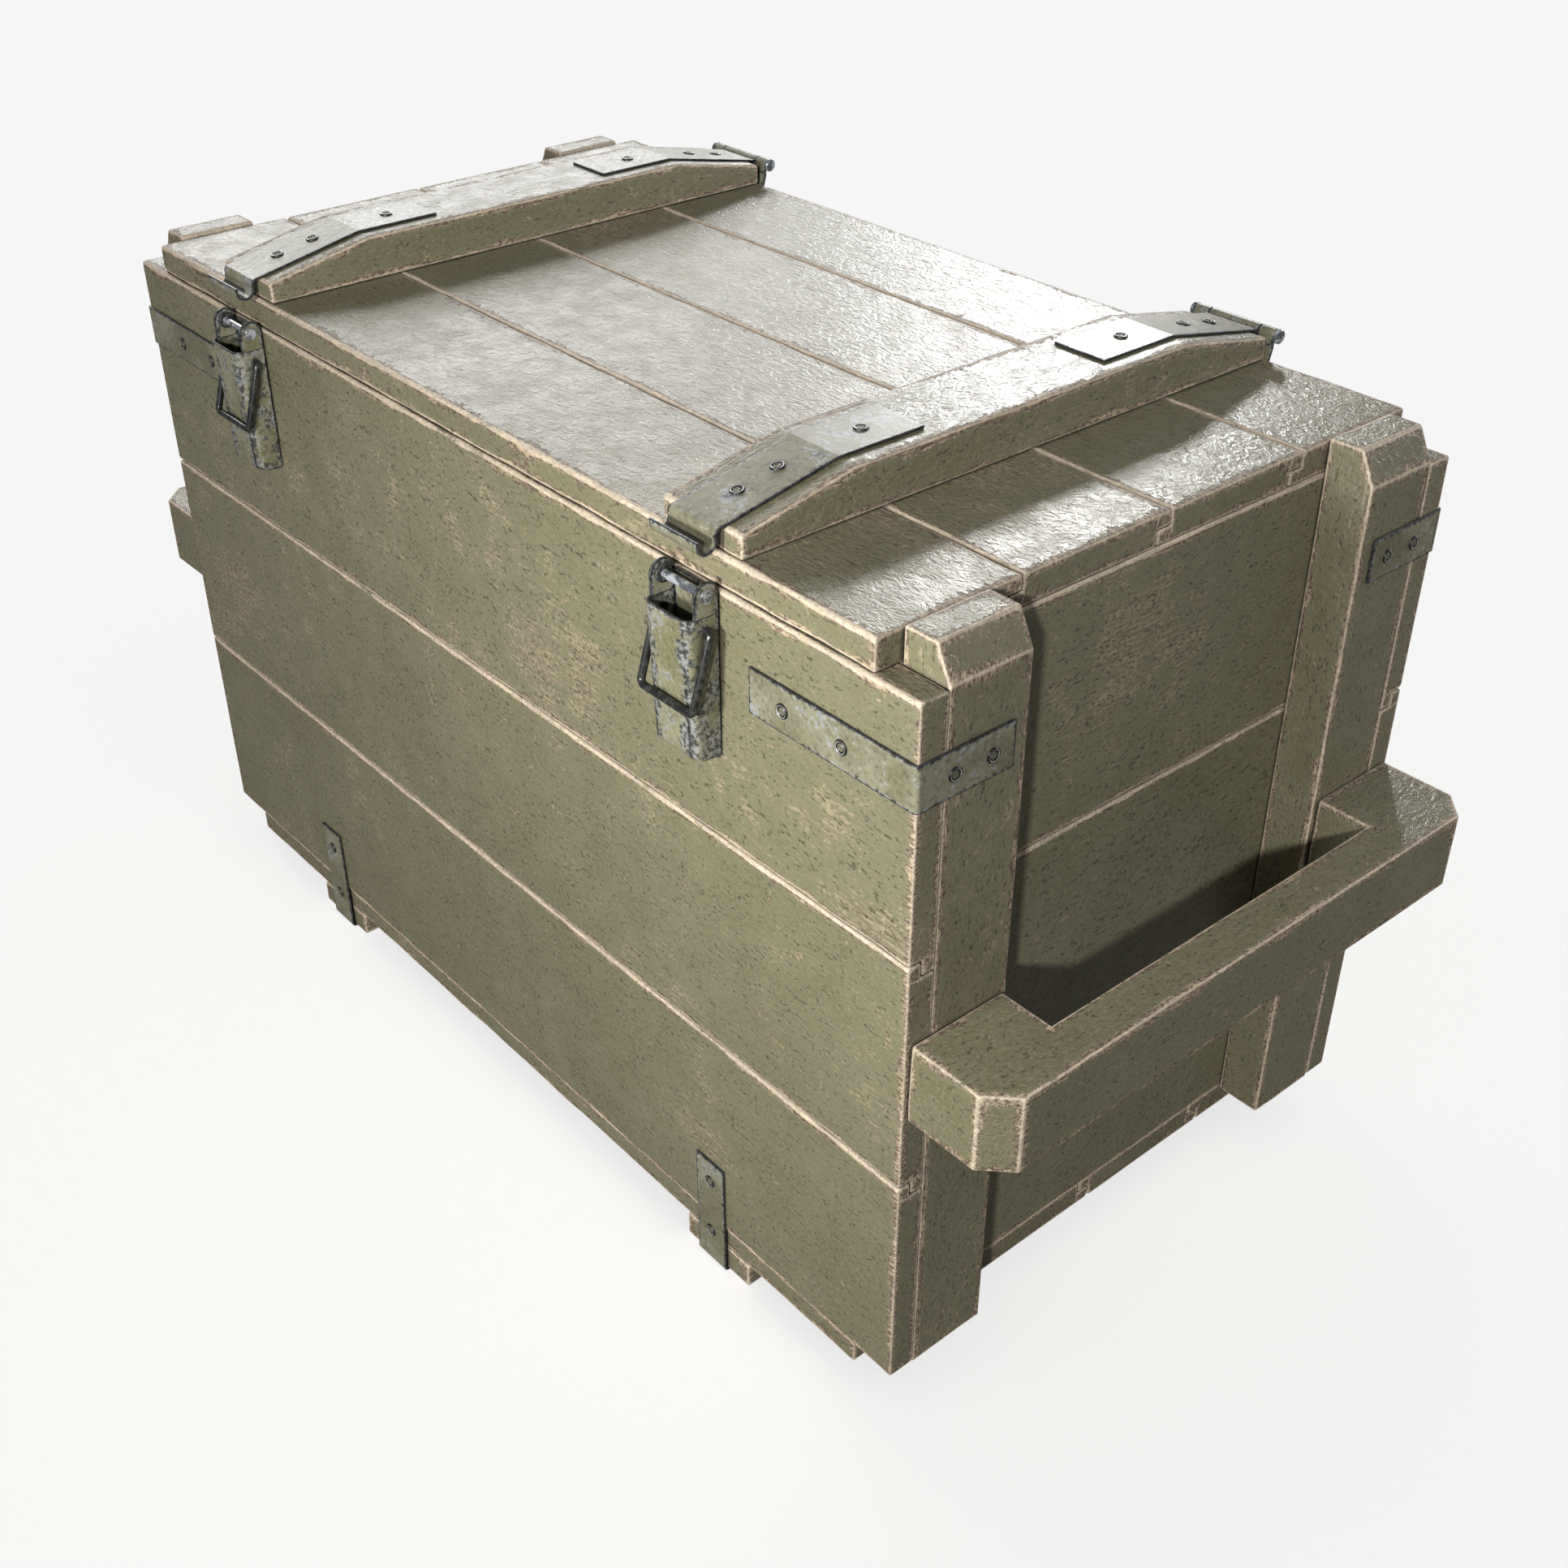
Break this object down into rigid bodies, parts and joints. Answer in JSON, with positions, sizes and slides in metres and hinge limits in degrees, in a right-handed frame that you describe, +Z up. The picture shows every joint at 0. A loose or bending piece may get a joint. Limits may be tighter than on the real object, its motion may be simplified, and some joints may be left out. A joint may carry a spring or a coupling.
{
  "type": "footlocker",
  "caption": "Military-style plank footlocker crate with a hinged lid, over-centre toggle latches, steel straps and wooden end handles.",
  "frame": {"origin": "below the middle of the crate, on the plane that its skids stand on", "axes": "+X along the crate from the left handle to the right one, -Y towards the side with the latches, +Z up"},
  "size_m": [0.9312, 0.4528, 0.5471],
  "materials": {
    "painted_wood": "gloss olive paint, worn to the wood on the edges",
    "end_and_bottom_wood": "satin olive paint",
    "painted_strap": "olive paint, worn to blue-grey steel on the edges",
    "latch_plate": "olive paint, worn to dark steel on the corners",
    "bail_wire": "dark polished wire",
    "pin_steel": "bare steel",
    "screw_steel": "dull steel with paint in the recess"
  },
  "bodies": {
    "box": {"front_plank_bottom": "painted_wood", "front_plank_middle": "painted_wood", "front_plank_top": "painted_wood", "rear_plank_bottom": "painted_wood", "rear_plank_middle": "painted_wood", "rear_plank_top": "painted_wood", "left_panel_bottom": "end_and_bottom_wood", "left_panel_middle": "end_and_bottom_wood", "left_panel_top": "end_and_bottom_wood", "right_panel_bottom": "end_and_bottom_wood", "right_panel_middle": "end_and_bottom_wood", "right_panel_top": "end_and_bottom_wood", "bottom_board_1": "end_and_bottom_wood", "bottom_board_2": "end_and_bottom_wood", "bottom_board_3": "end_and_bottom_wood", "bottom_board_4": "end_and_bottom_wood", "skid_left": "painted_wood", "skid_right": "painted_wood", "batten_left_front": "painted_wood", "batten_left_rear": "painted_wood", "batten_right_front": "painted_wood", "batten_right_rear": "painted_wood", "handle_left": "painted_wood", "handle_right": "painted_wood", "corner_strap_left_front": "painted_strap", "corner_strap_left_rear": "painted_strap", "corner_strap_right_front": "painted_strap", "corner_strap_right_rear": "painted_strap", "bottom_strap_left_front": "painted_strap", "bottom_strap_left_rear": "painted_strap", "bottom_strap_right_front": "painted_strap", "bottom_strap_right_rear": "painted_strap", "corner_strap_screws": "screw_steel", "bottom_strap_screws": "screw_steel", "hinge_leaf_left": "painted_strap", "hinge_leaf_right": "painted_strap", "hinge_pin_left": "pin_steel", "hinge_pin_right": "pin_steel", "hinge_leaf_screws": "screw_steel", "latch_base_left": "latch_plate", "latch_base_right": "latch_plate", "latch_pin_left": "pin_steel", "latch_pin_right": "pin_steel", "latch_base_screws": "screw_steel"},
    "lid": {"lid_plank_1": "painted_wood", "lid_plank_2": "painted_wood", "lid_plank_3": "painted_wood", "lid_plank_4": "painted_wood", "cleat_left": "painted_wood", "cleat_right": "painted_wood", "hook_strap_left": "painted_strap", "hook_strap_right": "painted_strap", "hinge_strap_left": "painted_strap", "hinge_strap_right": "painted_strap", "lid_strap_screws": "screw_steel"},
    "lever_left": {"latch_lever_left": "latch_plate"},
    "lever_right": {"latch_lever_right": "latch_plate"},
    "bail_left": {"latch_bail_left": "bail_wire"},
    "bail_right": {"latch_bail_right": "bail_wire"}
  },
  "joints": [
    {"name": "lid_hinge", "type": "hinge", "parent": "box", "child": "lid", "pos_m": [0, 0.22195, 0.528], "axis": [-1, 0, 0], "range_deg": [0, 250]},
    {"name": "latch_left", "type": "hinge", "parent": "box", "child": "lever_left", "pos_m": [-0.238, -0.21065, 0.496], "axis": [-1, 0, 0], "range_deg": [0, 135]},
    {"name": "latch_right", "type": "hinge", "parent": "box", "child": "lever_right", "pos_m": [0.238, -0.21065, 0.496], "axis": [-1, 0, 0], "range_deg": [0, 135]},
    {"name": "bail_left", "type": "hinge", "parent": "lever_left", "child": "bail_left", "pos_m": [-0.238, -0.21095, 0.477], "axis": [1, 0, 0], "range_deg": [-164.5, 0]},
    {"name": "bail_right", "type": "hinge", "parent": "lever_right", "child": "bail_right", "pos_m": [0.238, -0.21095, 0.477], "axis": [1, 0, 0], "range_deg": [-164.5, 0]}
  ]
}
